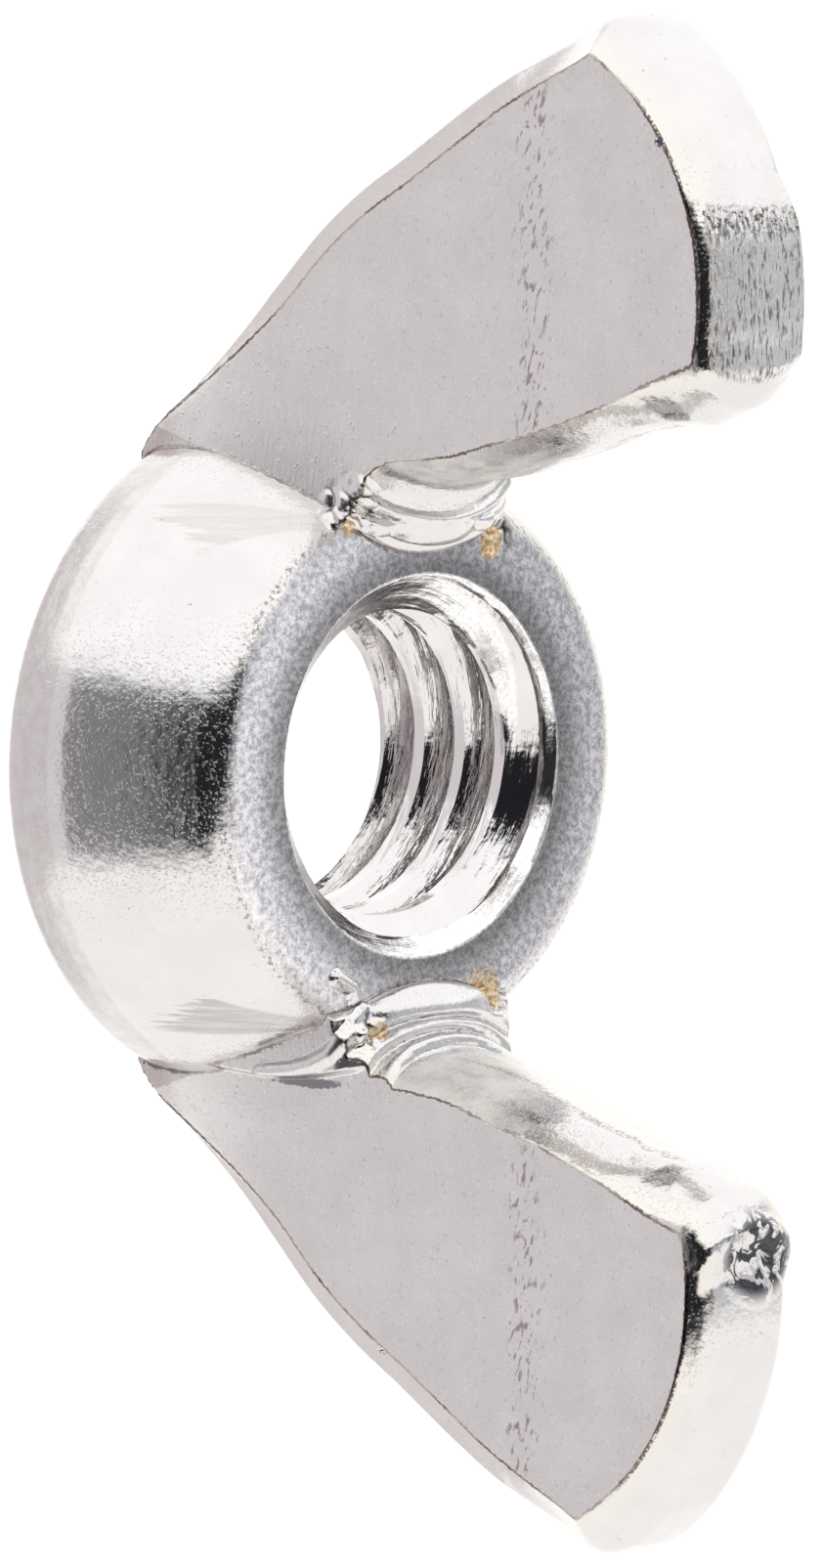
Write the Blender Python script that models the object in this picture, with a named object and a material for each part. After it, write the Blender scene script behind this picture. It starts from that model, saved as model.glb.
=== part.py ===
"""A cold-forged, bright-plated M8 wing nut in the American form, made as one solid piece.

Metres, +Z up. Z is the thread's axis, the bearing face lies at z = 0, and the wings spread along X.
Run it with: blender --background --python part.py
"""

from math import atan2, ceil, cos, degrees, hypot, pi, radians, sin, sqrt, tan

import bmesh
import bpy

MM = 0.001

# Driving dimensions, in millimetres.
THREAD_MAJOR = 8.0
THREAD_PITCH = 1.25
THREAD_PHASE = 0.31
FLANK_ANGLE = 30
BASE_DIAMETER = 15.0
BASE_EDGE_RADIUS = 0.6
BAND_HEIGHT = 1.5
HUB_HEIGHT = 5.35
TOP_DIAMETER = 11.9
TOP_EDGE_RADIUS = 0.5
TOP_COUNTERSINK = 8.3
BASE_COUNTERSINK = 7.9
ROOT_THICKNESS = 5.1
TIP_THICKNESS = 2.9
EDGE_ROUNDING = 0.65

# The wing's flat face, in millimetres: x outwards from the axis, z upwards.
TIP_CENTRE = (10.27, 8.86)
TIP_RADIUS = 5.8
CORNER_RADIUS = 0.35
OUTER_CORNER = (14.93, 11.68)
INNER_CORNER = (9.235, 14.21)
OUTER_LEAN, TIP_START, TIP_END, INNER_LEAN = -23, 31, 101, 162
SADDLE_RADIUS = 1.4
ROOT_X = 4.85
ROOT_Z = 0.3
# Each edge point holds x, z and the share of the edge rounding that lies outside it.
LOWER_EDGE = [(7.1, ROOT_Z, 0.1), (8.0, 1.1, 0.4), (9.6, 2.9, 0.8), (11.2, 4.5, 1), (12.6, 6.7, 0.8)]
UPPER_EDGE = [(8.15, 12.4, 1), (7.7, 11.3, 1), (7.4, 10.2, 1), (6.9, 8.1, 1)]

# Worked out from them, in millimetres.
MAJOR_RADIUS = THREAD_MAJOR / 2
MINOR_RADIUS = MAJOR_RADIUS - THREAD_PITCH * sqrt(3) / 2 * 5 / 8
BASE_RADIUS = BASE_DIAMETER / 2
TOP_RADIUS = TOP_DIAMETER / 2
TAPER = (ROOT_THICKNESS - TIP_THICKNESS) / 2 / (TIP_CENTRE[1] + TIP_RADIUS)

# How finely the round shapes are stepped, and how far the cutters reach past what they cut.
HUB_STEPS = 96
HUB_EDGE_STEPS = 4
STEPS_PER_TURN = 36
EDGE_STEPS = 3
CORNER_STEPS = 3
TIP_STEPS = 9
SADDLE_STEPS = 6
TIP_MARGIN = 5
OVERSHOOT = 1.0
THREAD_OVERLAP = 0.15
SPARE_TURNS = 2
WELD = 1e-7
SHARP_ANGLE = 35

COLOUR = (0.78, 0.76, 0.77, 1.0)
ROUGHNESS = 0.18


def arc(centre, radius, start, end, steps):
    """Points on a round stretch, from one angle to the other, in degrees."""
    points = []
    for step in range(steps + 1):
        angle = radians(start + (end - start) * step / steps)
        points.append((centre[0] + radius * cos(angle), centre[1] + radius * sin(angle)))
    return points


def add_object(name, data):
    """An object that holds a finished bmesh."""
    bmesh.ops.recalc_face_normals(data, faces=data.faces)
    mesh = bpy.data.meshes.new(name)
    data.to_mesh(mesh)
    data.free()
    obj = bpy.data.objects.new(name, mesh)
    bpy.context.scene.collection.objects.link(obj)
    return obj


def add_helper(name, data):
    """An object that only shapes another, and isn't a part of the nut."""
    obj = add_object(name, data)
    obj.hide_render = True
    obj.display_type = "WIRE"
    return obj


def turned(profile, steps):
    """A solid of revolution about Z, from a profile that starts and ends on the axis."""
    data = bmesh.new()
    points = [data.verts.new((radius * MM, 0, z * MM)) for radius, z in profile]
    edges = [data.edges.new(pair) for pair in zip(points, points[1:])]
    bmesh.ops.spin(
        data, geom=points + edges, cent=(0, 0, 0), axis=(0, 0, 1), angle=2 * pi, steps=steps
    )
    bmesh.ops.remove_doubles(data, verts=data.verts, dist=WELD)
    return data


def skinned(rings):
    """A solid whose skin runs through equal rings of points, with a cap at each end."""
    data = bmesh.new()
    loops = [[data.verts.new([value * MM for value in point]) for point in ring] for ring in rings]
    count = len(rings[0])
    for first, second in zip(loops, loops[1:]):
        for i in range(count):
            j = (i + 1) % count
            data.faces.new((first[i], first[j], second[j], second[i]))
    data.faces.new(loops[0])
    data.faces.new(loops[-1])
    return data


def hub_profile():
    """A cone that stands on a short band, with a rounded edge at its top and at its base."""
    lean = degrees(atan2(BASE_RADIUS - TOP_RADIUS, HUB_HEIGHT - BAND_HEIGHT))
    top_centre = (TOP_RADIUS - TOP_EDGE_RADIUS, HUB_HEIGHT - TOP_EDGE_RADIUS)
    base_centre = (BASE_RADIUS - BASE_EDGE_RADIUS, BASE_EDGE_RADIUS)
    profile = [(0, HUB_HEIGHT)]
    profile += arc(top_centre, TOP_EDGE_RADIUS, 90, lean, HUB_EDGE_STEPS)
    profile += [(BASE_RADIUS, BAND_HEIGHT)]
    profile += arc(base_centre, BASE_EDGE_RADIUS, 0, -90, HUB_EDGE_STEPS)
    profile += [(0, 0)]
    return profile


def face_outline():
    """The flat face's outline from the root, out and round the tip, and back down into the hub."""
    outer = arc(OUTER_CORNER, CORNER_RADIUS, OUTER_LEAN, TIP_START, CORNER_STEPS)
    tip = arc(TIP_CENTRE, TIP_RADIUS, TIP_START + TIP_MARGIN, TIP_END - TIP_MARGIN, TIP_STEPS)
    inner = arc(INNER_CORNER, CORNER_RADIUS, TIP_END, INNER_LEAN, CORNER_STEPS)
    saddle_centre = (ROOT_X, HUB_HEIGHT + SADDLE_RADIUS)
    saddle = arc(saddle_centre, SADDLE_RADIUS, 0, -90, SADDLE_STEPS)
    outline = LOWER_EDGE + [(x, z, 1) for x, z in outer + tip + inner] + UPPER_EDGE
    outline += [(x, z, 1 - i / SADDLE_STEPS) for i, (x, z) in enumerate(saddle)]
    outline += [(ROOT_X, ROOT_Z, 0)]
    return outline


def outward(outline):
    """The outward direction at each point of an outline that runs anticlockwise."""
    directions = []
    for i, (x, z, _) in enumerate(outline):
        before = outline[i - 1]
        after = outline[(i + 1) % len(outline)]
        first = (x - before[0], z - before[1])
        second = (after[0] - x, after[1] - z)
        first = (first[0] / hypot(*first), first[1] / hypot(*first))
        second = (second[0] / hypot(*second), second[1] / hypot(*second))
        along = (first[0] + second[0], first[1] + second[1])
        length = hypot(*along)
        directions.append((along[1] / length, -along[0] / length))
    return directions


def wing_rings():
    """Rings of the wing's skin from one flat face to the other, bulging by the edge rounding."""
    outline = face_outline()
    directions = outward(outline)
    steps = [90 * step / EDGE_STEPS for step in range(EDGE_STEPS + 1)]
    sections = [(sin(radians(a)), 1 - cos(radians(a)), -1) for a in steps]
    sections += [(bulge, depth, 1) for bulge, depth, _ in reversed(sections)]
    rings = []
    for bulge, depth, side in sections:
        ring = []
        for (x, z, share), (out_x, out_z) in zip(outline, directions):
            half = ROOT_THICKNESS / 2 - TAPER * z
            y = side * (half - EDGE_ROUNDING * depth)
            reach = EDGE_ROUNDING * share * bulge
            ring.append((x + reach * out_x, y, z + reach * out_z))
        rings.append(ring)
    return rings


def make_wing(name, side):
    rings = [[(side * x, side * y, z) for x, y, z in ring] for ring in wing_rings()]
    return add_helper(name, skinned(rings))


def make_bore():
    """The bore at the thread's crests, with a 45 degree countersink at each face."""
    top, base = TOP_COUNTERSINK / 2, BASE_COUNTERSINK / 2
    profile = [
        (0, HUB_HEIGHT + OVERSHOOT),
        (top + OVERSHOOT, HUB_HEIGHT + OVERSHOOT),
        (MINOR_RADIUS, HUB_HEIGHT - (top - MINOR_RADIUS)),
        (MINOR_RADIUS, base - MINOR_RADIUS),
        (base + OVERSHOOT, -OVERSHOOT),
        (0, -OVERSHOOT),
    ]
    return add_helper("bore_cutter", turned(profile, 2 * STEPS_PER_TURN))


def make_thread():
    """The thread's groove: a trapezium with 60 degree flanks, swept along a right-hand helix."""
    inner = MINOR_RADIUS - THREAD_OVERLAP
    root_half = THREAD_PITCH / 16
    inner_half = root_half + (MAJOR_RADIUS - inner) * tan(radians(FLANK_ANGLE))
    lower = [(inner, -inner_half), (MAJOR_RADIUS, -root_half)]
    section = lower + [(r, -z) for r, z in reversed(lower)]
    turns = ceil(HUB_HEIGHT / THREAD_PITCH) + SPARE_TURNS
    start = THREAD_PHASE - SPARE_TURNS * THREAD_PITCH
    rings = []
    for step in range(turns * STEPS_PER_TURN + 1):
        angle = 2 * pi * step / STEPS_PER_TURN
        lift = start + THREAD_PITCH * step / STEPS_PER_TURN
        rings.append([(r * cos(angle), r * sin(angle), z + lift) for r, z in section])
    return add_helper("thread_cutter", skinned(rings))


def plated_steel():
    material = bpy.data.materials.new("plated_steel")
    material.use_nodes = True
    shader = material.node_tree.nodes["Principled BSDF"]
    shader.inputs["Base Color"].default_value = COLOUR
    shader.inputs["Metallic"].default_value = 1.0
    shader.inputs["Roughness"].default_value = ROUGHNESS
    material.diffuse_color = COLOUR
    return material


def combine(body, other, operation):
    modifier = body.modifiers.new(other.name, "BOOLEAN")
    modifier.operation = operation
    modifier.solver = "EXACT"
    modifier.object = other


def make_wing_nut():
    """The forged body with its bore and thread cut."""
    nut = add_object("wing_nut", turned(hub_profile(), HUB_STEPS))
    nut.data.materials.append(plated_steel())
    for name, side in (("left_wing", -1), ("right_wing", 1)):
        combine(nut, make_wing(name, side), "UNION")
    combine(nut, make_bore(), "DIFFERENCE")
    combine(nut, make_thread(), "DIFFERENCE")
    nut.data.shade_smooth()
    nut.data.set_sharp_from_angle(angle=radians(SHARP_ANGLE))
    return nut


for old in list(bpy.data.objects):
    bpy.data.objects.remove(old, do_unlink=True)
make_wing_nut()
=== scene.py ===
"""The looks of a cold-forged, bright-plated wing nut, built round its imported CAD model.

The forged body is the zero surface of one smooth distance field, in millimetres: a conical hub, two
wings with crowned edges, and the folds and rolled ripples at their roots. The threaded bore is cut
out of it by a helical cutter. X is the spread of the wings, and Z is the thread's axis.
"""

from math import cos, pi, radians, sin, sqrt, tan
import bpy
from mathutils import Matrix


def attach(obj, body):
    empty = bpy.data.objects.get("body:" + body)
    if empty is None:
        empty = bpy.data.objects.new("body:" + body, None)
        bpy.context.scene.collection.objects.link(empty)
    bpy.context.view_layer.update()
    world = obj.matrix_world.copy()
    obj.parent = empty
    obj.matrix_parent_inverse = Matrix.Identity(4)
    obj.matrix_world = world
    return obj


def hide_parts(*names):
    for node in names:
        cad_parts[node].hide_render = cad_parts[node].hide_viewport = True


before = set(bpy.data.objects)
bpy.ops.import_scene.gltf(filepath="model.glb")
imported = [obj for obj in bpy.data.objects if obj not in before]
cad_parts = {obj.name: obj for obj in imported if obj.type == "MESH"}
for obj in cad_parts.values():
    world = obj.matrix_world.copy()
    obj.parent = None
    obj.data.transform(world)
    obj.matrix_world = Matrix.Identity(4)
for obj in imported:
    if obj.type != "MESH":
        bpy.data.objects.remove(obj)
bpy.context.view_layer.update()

from types import SimpleNamespace

import bmesh
import bpy
import numpy as np
from mathutils import Matrix, Vector

MM = 0.001

# Sizes of the CAD model, in millimetres.
THREAD_MAJOR = 8.0
THREAD_PITCH = 1.25
THREAD_PHASE = 0.31
BASE_RADIUS = 7.5
BASE_EDGE_RADIUS = 0.6
BAND_HEIGHT = 1.5
HUB_HEIGHT = 5.35
TOP_RADIUS = 5.95
TOP_EDGE_RADIUS = 0.5
TOP_COUNTERSINK = 4.15
BASE_COUNTERSINK = 3.95
HALF_ROOT = 2.38
TAPER = 0.062
TIP_CENTRE = (10.27, 8.86)
TIP_RADIUS = 5.8
SADDLE_RADIUS = 1.4
SADDLE_X = 5.3

# The surface's own detail, in millimetres.
FLARE = 1.05
FLARE_REACH = 3.0
CONE_BULGE = 0.1
LIP = 0.3
# Small dents along the edges: their centres and radii.
GOUGES = [
    ((-13.55, -1.62, 13.6), 0.13),
    ((-11.9, -2.1, 5.3), 0.1),
    ((12.4, -1.95, 6.2), 0.09),
    ((7.75, -1.75, 11.6), 0.09),
    ((-8.35, -1.7, 12.9), 0.08),
]
# How much higher a tip's back edge stands than its front edge, for each millimetre between them.
TIP_LEAN = {-1: 0.1, 1: 0.055}
# How much further the right tip's whole edge stands out.
TIP_LIFT = {-1: 0.0, 1: 0.1}
# How far a tip's front edge drops near its inner corner: places along the outline, and the drops there.
TIP_DROP = {-1: ([1.4, 1.6], [0, 0.11]), 1: ([1.5, 1.84, 1.93], [0, 0.14, 0])}
CORNER_BULGE = 0.42
BEAD_SAG = 0.2
# How far each edge stands out beyond the flat's outline, against the place along it.
EDGE_RISE = ([0, 0.12, 0.3, 0.75, 0.9, 1.0, 1.2, 1.5, 1.97, 2.2],
             [0, 0.1, 0.55, 0.6, 0.55, 0.6, 0.55, 0.3, 0.26, 0])
# How much higher the edge's middle is than its sides.
EDGE_CROWN = ([0, 0.3, 0.7, 0.9, 1.0, 1.9, 2.1, 3, 3.4, 4],
              [0.12, 0.16, 0.16, 0.16, 0.16, 0.14, 0.5, 0.5, 0.55, 0.4])
# The width of the bevel between each edge and its flat, for a depth of BEVEL_DEPTH.
EDGE_BEVEL = {
    -1: ([0.1, 0.88, 0.98, 1.5, 1.62, 1.97], [0.14, 0.16, 0.4, 0.36, 0.16, 0.16]),
    1: ([0.1, 0.88, 0.98, 1.83, 1.91, 1.97], [0.14, 0.16, 0.4, 0.36, 0.16, 0.16]),
}
BEVEL_DEPTH = 0.4
# Each bead across a wing's root: its place along the outline, its half width there and its height.
BEADS = {
    -1: [(3.59, 0.07, 0.16), (3.72, 0.05, 0.1)],
    1: [(3.33, 0.08, 0.15), (3.5, 0.07, 0.16), (3.66, 0.07, 0.13)],
}
# Each crumpled place: its centre, its reach and the height of its folds.
FOLDS = [
    ((-5.75, -2.3, 5.4), 0.75, 0.26),
    ((-5.0, 2.2, 5.4), 0.7, 0.25),
    ((5.65, -1.95, 5.6), 0.45, 0.28),
    ((5.1, 2.1, 5.4), 0.7, 0.25),
]
# A rolled lip from the hub's top edge round the right wing's root: its middle line, half width and height.
ROLL = [(4.4, -2.55, 5.35), (4.65, -2.1, 5.42), (5.05, -1.95, 5.45),
        (5.45, -2.2, 5.5), (5.75, -2.48, 5.45), (6.05, -2.62, 5.2),
        (6.3, -2.72, 4.75), (6.45, -2.8, 4.25), (6.58, -2.95, 3.45)]
ROLL_HALF_WIDTH = 0.12
ROLL_HEIGHT = 0.24
COARSE_VOXEL = 0.3
VOXEL = 0.15
# The turn of the surface across an edge, in degrees, past which the edge is split.
FINEST_TURN = 14
SLIVER = 0.003
OUTLINE_STEP = 0.1
MAP_LOW = (2.0, -1.5)
MAP_STEP = 0.05
MAP_COUNT = (300, 360)


# ---------------------------------------------------------------- noise and blends

def lattice(ix, iy, iz, seed):
    """A repeatable value from 0 to 1 for each point of a whole-number lattice."""
    h = ix * 374761393 + iy * 668265263 + iz * 2147483647 + seed * 1274126177
    h = (h ^ (h >> 13)) * 1274126177 & 0xFFFFFFFF
    return ((h ^ (h >> 16)) & 0xFFFF) / 65535.0


def noise(p, size, seed):
    """Smooth value noise from -1 to 1, with features about one size across."""
    q = p / size
    cell = np.floor(q).astype(np.int64)
    f = q - cell
    f = f * f * f * (f * (f * 6 - 15) + 10)
    total = np.zeros(len(p))
    for corner in range(8):
        dx, dy, dz = corner & 1, corner >> 1 & 1, corner >> 2 & 1
        weight = np.where(dx, f[:, 0], 1 - f[:, 0])
        weight = weight * np.where(dy, f[:, 1], 1 - f[:, 1])
        weight = weight * np.where(dz, f[:, 2], 1 - f[:, 2])
        total += weight * lattice(cell[:, 0] + dx, cell[:, 1] + dy, cell[:, 2] + dz, seed)
    return total * 2 - 1


def step(low, high, value):
    """Smooth step from 0 at low to 1 at high."""
    t = np.clip((value - low) / (high - low), 0, 1)
    return t * t * (3 - 2 * t)


def join(a, b, radius):
    """The union of two fields, with a fillet."""
    u = np.maximum(radius - a, 0)
    v = np.maximum(radius - b, 0)
    return np.maximum(radius, np.minimum(a, b)) - np.hypot(u, v)


def meet(a, b, radius):
    """The intersection of two fields, with a rounded edge."""
    u = np.maximum(radius + a, 0)
    v = np.maximum(radius + b, 0)
    return np.minimum(-radius, np.maximum(a, b)) + np.hypot(u, v)


# ---------------------------------------------------------------- the wing's outline

def arc(centre, radius, start, end, steps):
    angles = np.radians(np.linspace(start, end, steps + 1))
    return [(centre[0] + radius * cos(a), centre[1] + radius * sin(a)) for a in angles]


def spline(points, step_length):
    """A smooth curve through points, resampled at even steps."""
    p = np.array([points[0]] + list(points) + [points[-1]], float)
    out = []
    for a, b, c, d in zip(p, p[1:], p[2:], p[3:]):
        t = np.linspace(0, 1, 40, endpoint=False)[:, None]
        out.append(0.5 * (2 * b + (c - a) * t + (2 * a - 5 * b + 4 * c - d) * t**2
                          + (3 * b - a - 3 * c + d) * t**3))
    out = np.vstack(out + [p[-1:]])
    length = np.r_[0, np.cumsum(np.hypot(*np.diff(out, axis=0).T))]
    even = np.linspace(0, length[-1], int(length[-1] / step_length) + 1)
    return np.stack([np.interp(even, length, out[:, i]) for i in (0, 1)], 1)


LOWER_EDGE = [(6.7, 0.05), (7.35, 0.55), (8.1, 1.3), (8.9, 2.15), (10.0, 3.3), (11.05, 4.4),
              (11.9, 5.55), (12.6, 6.75), (13.4, 8.05), (14.1, 9.2), (14.65, 10.3), (15.1, 11.3)]
UPPER_EDGE = [(8.95, 14.45), (8.6, 13.4), (8.15, 12.4), (7.75, 11.3), (7.4, 10.2), (7.15, 9.15),
              (6.85, 8.05), (SADDLE_X + SADDLE_RADIUS, HUB_HEIGHT + SADDLE_RADIUS + 0.1)]


def make_outline():
    """The flat face's border, anticlockwise, and how far along it each point lies, from 0 to 4.

    0 to 1 is the lower edge, 1 to 2 the tip, 2 to 3 the upper edge and 3 to 4 the saddle.
    """
    lower = spline(LOWER_EDGE, OUTLINE_STEP)
    tip = np.array(arc(TIP_CENTRE, TIP_RADIUS, 29.5, 102, 75))
    upper = spline(UPPER_EDGE, OUTLINE_STEP)
    centre = (SADDLE_X, HUB_HEIGHT + SADDLE_RADIUS)
    inner_x = SADDLE_X - 0.2
    saddle = arc(centre, SADDLE_RADIUS, 0, -90, 24) + [(inner_x, HUB_HEIGHT - 0.3), (inner_x, 4.0)]
    points, along = [], []
    for i, part in enumerate((lower, tip, upper, np.array(saddle))):
        length = np.r_[0, np.cumsum(np.hypot(*np.diff(part, axis=0).T))]
        points.append(part)
        along.append(i + length / length[-1])
    points.append(np.array([(inner_x, 0.05)]))
    along.append(np.array([4.0]))
    return np.vstack(points), np.concatenate(along)


OUTLINE, ALONG = make_outline()


def outline_map():
    """On a grid of x and z: the distance to the border, negative inside, and the nearest place on it."""
    xs = MAP_LOW[0] + MAP_STEP * np.arange(MAP_COUNT[0])
    zs = MAP_LOW[1] + MAP_STEP * np.arange(MAP_COUNT[1])
    start = OUTLINE
    side = np.roll(OUTLINE, -1, axis=0) - start
    length2 = (side**2).sum(1)
    along_end = np.roll(ALONG, -1)
    along_end[-1] = 4.0
    distance = np.empty(MAP_COUNT)
    place = np.empty(MAP_COUNT)
    for i, x in enumerate(xs):
        dx = x - start[None, :, 0]
        dz = zs[:, None] - start[None, :, 1]
        t = np.clip((dx * side[:, 0] + dz * side[:, 1]) / length2, 0, 1)
        d2 = (dx - t * side[:, 0]) ** 2 + (dz - t * side[:, 1]) ** 2
        near = d2.argmin(1)
        row = np.arange(len(near))
        turn = side[:, 0] * dz - side[:, 1] * dx
        rising = (dz >= 0) & (dz - side[:, 1] < 0) & (turn > 0)
        falling = (dz < 0) & (dz - side[:, 1] >= 0) & (turn < 0)
        inside = rising.sum(1) != falling.sum(1)
        distance[i] = np.sqrt(d2[row, near]) * np.where(inside, -1, 1)
        place[i] = ALONG[near] + t[row, near] * (along_end[near] - ALONG[near])
    return distance, place


OUTLINE_MAP = outline_map()


def outline_distance(x, z):
    """The distance to the border and the place along it, read from the map."""
    u = np.clip((x - MAP_LOW[0]) / MAP_STEP, 0, MAP_COUNT[0] - 1.001)
    v = np.clip((z - MAP_LOW[1]) / MAP_STEP, 0, MAP_COUNT[1] - 1.001)
    i, j = u.astype(int), v.astype(int)
    u, v = u - i, v - j
    found = []
    for m in OUTLINE_MAP:
        left = (1 - v) * m[i, j] + v * m[i, j + 1]
        right = (1 - v) * m[i + 1, j] + v * m[i + 1, j + 1]
        found.append((1 - u) * left + u * right)
    return found


# ---------------------------------------------------------------- the forged body's field

def hub_field(p):
    r = np.hypot(p[:, 0], p[:, 1])
    z = p[:, 2]
    rise, run = HUB_HEIGHT - BAND_HEIGHT, BASE_RADIUS - TOP_RADIUS
    slant = sqrt(rise**2 + run**2)
    cone = ((r - BASE_RADIUS) * rise + (z - BAND_HEIGHT) * run) / slant
    up = np.clip((z - BAND_HEIGHT) / rise, 0, 1)
    cone = cone - CONE_BULGE * 4 * up * (1 - up)
    side = meet(cone, r - BASE_RADIUS, 0.15)
    body = meet(side, z - HUB_HEIGHT, TOP_EDGE_RADIUS)
    return meet(body, -z, BASE_EDGE_RADIUS), cone


def lip(x, z):
    """A folded lip that stands on the right wing's flat beside the hub, with a crescent for its border."""
    border = 6.62 - 0.12 * (z - 3.5) ** 2 / 2
    return LIP * step(0.1, -0.04, x - border) * step(0.9, 2.4, z) * step(6.0, 5.3, z)


def wing_field(p, side, cone):
    """The wing's field, the field of its edge less that of its flats, and the place along the outline."""
    x, y, z = side * p[:, 0], p[:, 1], p[:, 2]
    middle = np.clip(1 - (y / (HALF_ROOT - TAPER * z)) ** 2, 0, 1)
    bulge = CORNER_BULGE * middle * step(11.8, 13.9, z) * step(11.5, 9.6, x)
    distance, place = outline_distance(x + bulge, z)
    flare = FLARE * np.clip(1 - z / 8, 0, 1) * np.clip(1 - cone / FLARE_REACH, 0, 1) ** 1.3
    half = HALF_ROOT - TAPER * z + flare
    if side > 0:
        half = half + lip(x, z)
    rise = np.interp(place, *EDGE_RISE)
    crown = np.interp(place, *EDGE_CROWN)
    tip = np.interp(place, [0.9, 1.05, 1.95, 2.0], [0, 1, 1, 0])
    bevel = np.interp(place, *EDGE_BEVEL[side])
    rise = rise + tip * (TIP_LEAN[side] * (y + half) + TIP_LIFT[side])
    front = np.clip(0.5 - y / half / 2, 0, 1)
    rise = rise - tip * front * np.interp(place, *TIP_DROP[side])
    beads = np.zeros(len(x))
    across = np.minimum(np.abs(y) / half, 1.2)
    for centre, width, height in BEADS[side]:
        off = (place + BEAD_SAG * across**2 - centre) / width
        beads = np.maximum(beads, height * (1 - off**2))
    bend = (half**2 + crown**2) / (2 * crown)
    rim = np.hypot(distance - rise - beads + bend - crown, y) - bend
    slant = np.hypot(bevel, BEVEL_DEPTH)
    corner = ((np.abs(y) - half) * BEVEL_DEPTH + distance * bevel) / slant
    rim = np.where(rise > 0, meet(rim, corner, np.minimum(0.1, rise)), rim)
    face = np.abs(y) - half
    return meet(rim, face, 0.03), rim - face, place


def crumple(p):
    """The height of the pillowed folds at each wing's root, and how deep in a crack, from 0 to 1, which is
    painted as shade.
    """
    folds = np.zeros(len(p))
    cracks = np.zeros(len(p))
    for centre, reach, height in FOLDS:
        far = np.linalg.norm(p - centre, axis=1)
        near = np.flatnonzero(far < reach)
        ridge = np.abs(noise(p[near], 0.52, 11) + 0.25 * noise(p[near], 0.23, 12))
        inside = step(reach, 0.45 * reach, far[near])
        folds[near] += height * (ridge - 0.2) * inside
        cracks[near] = np.maximum(cracks[near], inside * np.clip(1.2 - ridge / 0.07, 0, 1))
    return folds, cracks


def roll(p):
    """The height of the rolled lip."""
    height = np.zeros(len(p))
    line = np.array(ROLL)
    near = np.flatnonzero(np.linalg.norm(p - line[len(line) // 2], axis=1) < 3)
    far = np.full(len(near), 9.0)
    for start, end in zip(line, line[1:]):
        side = end - start
        t = np.clip(((p[near] - start) @ side) / (side @ side), 0, 1)
        far = np.minimum(far, np.linalg.norm(p[near] - start - t[:, None] * side, axis=1))
    height[near] = ROLL_HEIGHT * np.clip(1 - (far / (2 * ROLL_HALF_WIDTH)) ** 2, 0, 1) ** 2
    return height


def field(p):
    body, cone = hub_field(p)
    for side in (-1, 1):
        near = np.flatnonzero(side * p[:, 0] > 2.5)
        wing = np.full(len(p), 50.0)
        wing[near] = wing_field(p[near], side, cone[near])[0]
        body = join(body, wing, 0.03)
    body = body - crumple(p)[0] - roll(p)
    for (x, y, z), radius in GOUGES:
        far = np.sqrt((p[:, 0] - x) ** 2 + (p[:, 1] - y) ** 2 + (p[:, 2] - z) ** 2)
        body = np.maximum(body, radius - far)
    return np.maximum(body, -p[:, 2])


def gradient(p, reach=0.01):
    g = np.empty_like(p)
    for axis in range(3):
        shift = np.zeros(3)
        shift[axis] = reach
        g[:, axis] = field(p + shift) - field(p - shift)
    return g / (2 * reach)


def settle(p, passes):
    """Points moved onto the zero surface."""
    for _ in range(passes):
        value = field(p)
        g = gradient(p)
        size = np.maximum((g**2).sum(1), 0.2)
        p = p - np.clip(value / size, -0.3, 0.3)[:, None] * g
    return p


# ---------------------------------------------------------------- meshes

def new_object(name, verts, faces):
    mesh = bpy.data.meshes.new(name)
    mesh.from_pydata([tuple(v) for v in verts], [], faces)
    mesh.update()
    obj = bpy.data.objects.new(name, mesh)
    bpy.context.scene.collection.objects.link(obj)
    return obj


def coords(mesh):
    p = np.empty(len(mesh.vertices) * 3)
    mesh.vertices.foreach_get("co", p)
    return p.reshape(-1, 3)


def apply_modifiers(obj):
    """The object's evaluated mesh becomes its own mesh."""
    graph = bpy.context.evaluated_depsgraph_get()
    mesh = bpy.data.meshes.new_from_object(obj.evaluated_get(graph))
    obj.modifiers.clear()
    old, obj.data = obj.data, mesh
    bpy.data.meshes.remove(old)


def rough_hub():
    """A plain cone on a band, in millimetres, for the remesh to start from."""
    profile = [(BASE_RADIUS, 0), (BASE_RADIUS, BAND_HEIGHT), (TOP_RADIUS, HUB_HEIGHT)]
    count = 96
    angles = [2 * pi * i / count for i in range(count)]
    verts = [(r * cos(angle), r * sin(angle), z) for r, z in profile for angle in angles]
    faces = [[i for i in reversed(range(count))], [2 * count + i for i in range(count)]]
    for row in range(2):
        for i in range(count):
            j = (i + 1) % count
            low, high = row * count, (row + 1) * count
            faces.append([low + i, low + j, high + j, high + i])
    return verts, faces


def rough_wing(side):
    """The wing's outline as a plain slab that thins towards the tip."""
    outline = OUTLINE[::3]
    count = len(outline)
    verts = [(side * x, sign * (HALF_ROOT - TAPER * z), z) for sign in (-1, 1) for x, z in outline]
    faces = [list(range(count)), [count + i for i in reversed(range(count))]]
    faces += [[(i + 1) % count, i, count + i, count + (i + 1) % count] for i in range(count)]
    return verts, faces if side > 0 else [face[::-1] for face in faces]


def voxel_remesh(body, size):
    remesh = body.modifiers.new("remesh", "REMESH")
    remesh.mode = "VOXEL"
    remesh.voxel_size = size
    apply_modifiers(body)


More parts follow.
